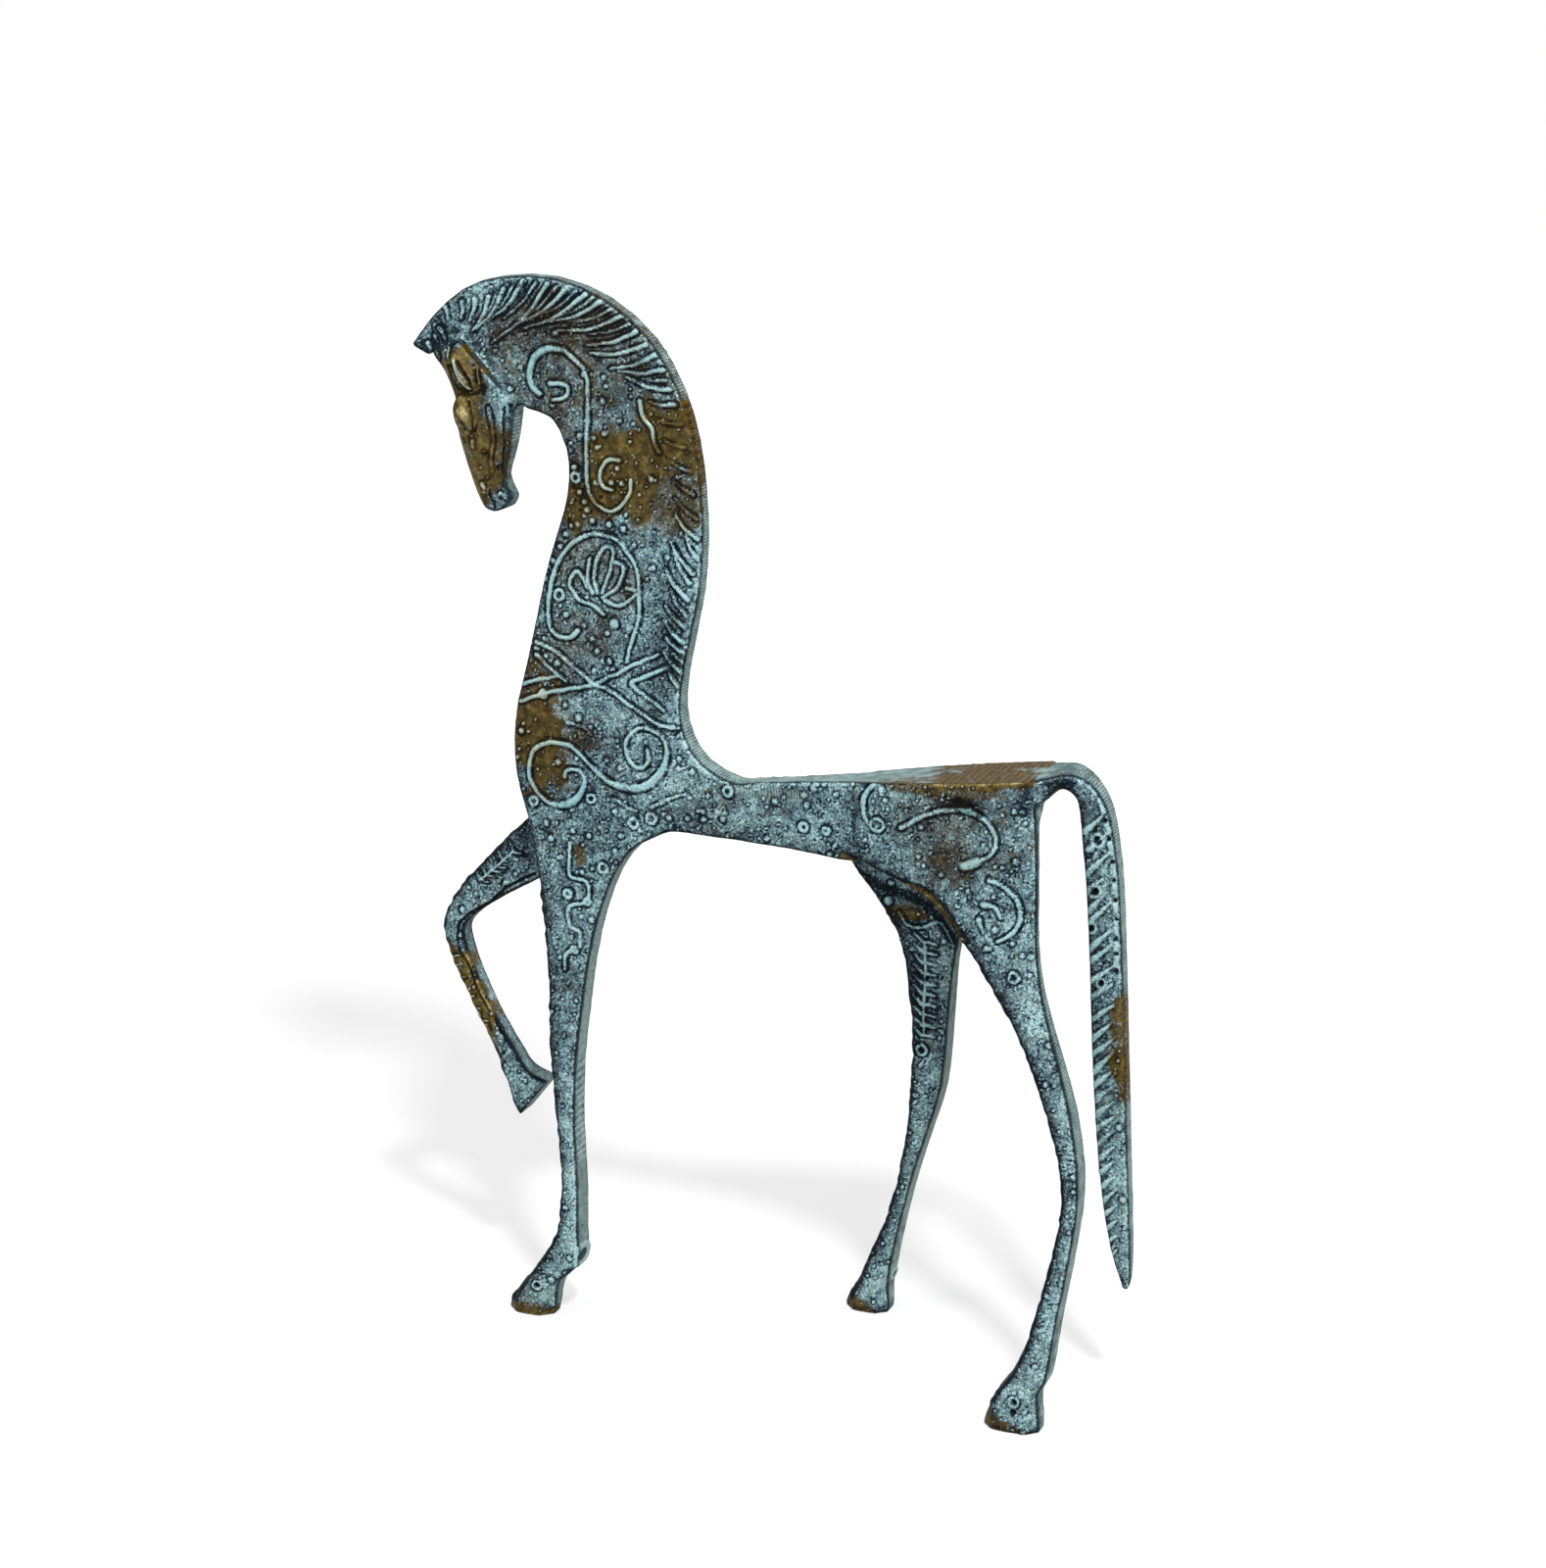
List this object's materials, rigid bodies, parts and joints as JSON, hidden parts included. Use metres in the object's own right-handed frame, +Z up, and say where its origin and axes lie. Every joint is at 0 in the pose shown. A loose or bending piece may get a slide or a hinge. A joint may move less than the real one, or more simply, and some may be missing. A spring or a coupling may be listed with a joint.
{
  "type": "horse figurine",
  "caption": "Standing bronze horse in the archaic Greek manner: arched flat neck, stepping legs, a raised foreleg and an arched tail, with scrolls and a palmette in relief.",
  "frame": {"origin": "on the floor under the middle of the bounding box, level with the hoof soles", "axes": "+Z up; the horse faces -X and its left side, the one seen in the picture, faces -Y"},
  "size_m": [0.2344, 0.0756, 0.3312],
  "materials": {
    "patinated_bronze": "bronze with pale blue-green patina, dark in the recesses, filed bare at the edges",
    "rubbed_bronze": "bronze rubbed bare to a brown gold, with patina left in the hollows",
    "pin_bronze": "plain drawn bronze"
  },
  "bodies": {
    "root": {"neck_and_trunk": "patinated_bronze", "head": "rubbed_bronze", "standing_foreleg": "patinated_bronze", "raised_foreleg": "patinated_bronze", "near_hind_leg": "patinated_bronze", "far_hind_leg": "patinated_bronze", "tail": "patinated_bronze", "head_pin": "pin_bronze", "standing_foreleg_pin": "pin_bronze", "raised_foreleg_pin": "pin_bronze", "front_haunch_pin": "pin_bronze", "rear_haunch_pin": "pin_bronze", "tail_pin": "pin_bronze"}
  },
  "joints": []
}
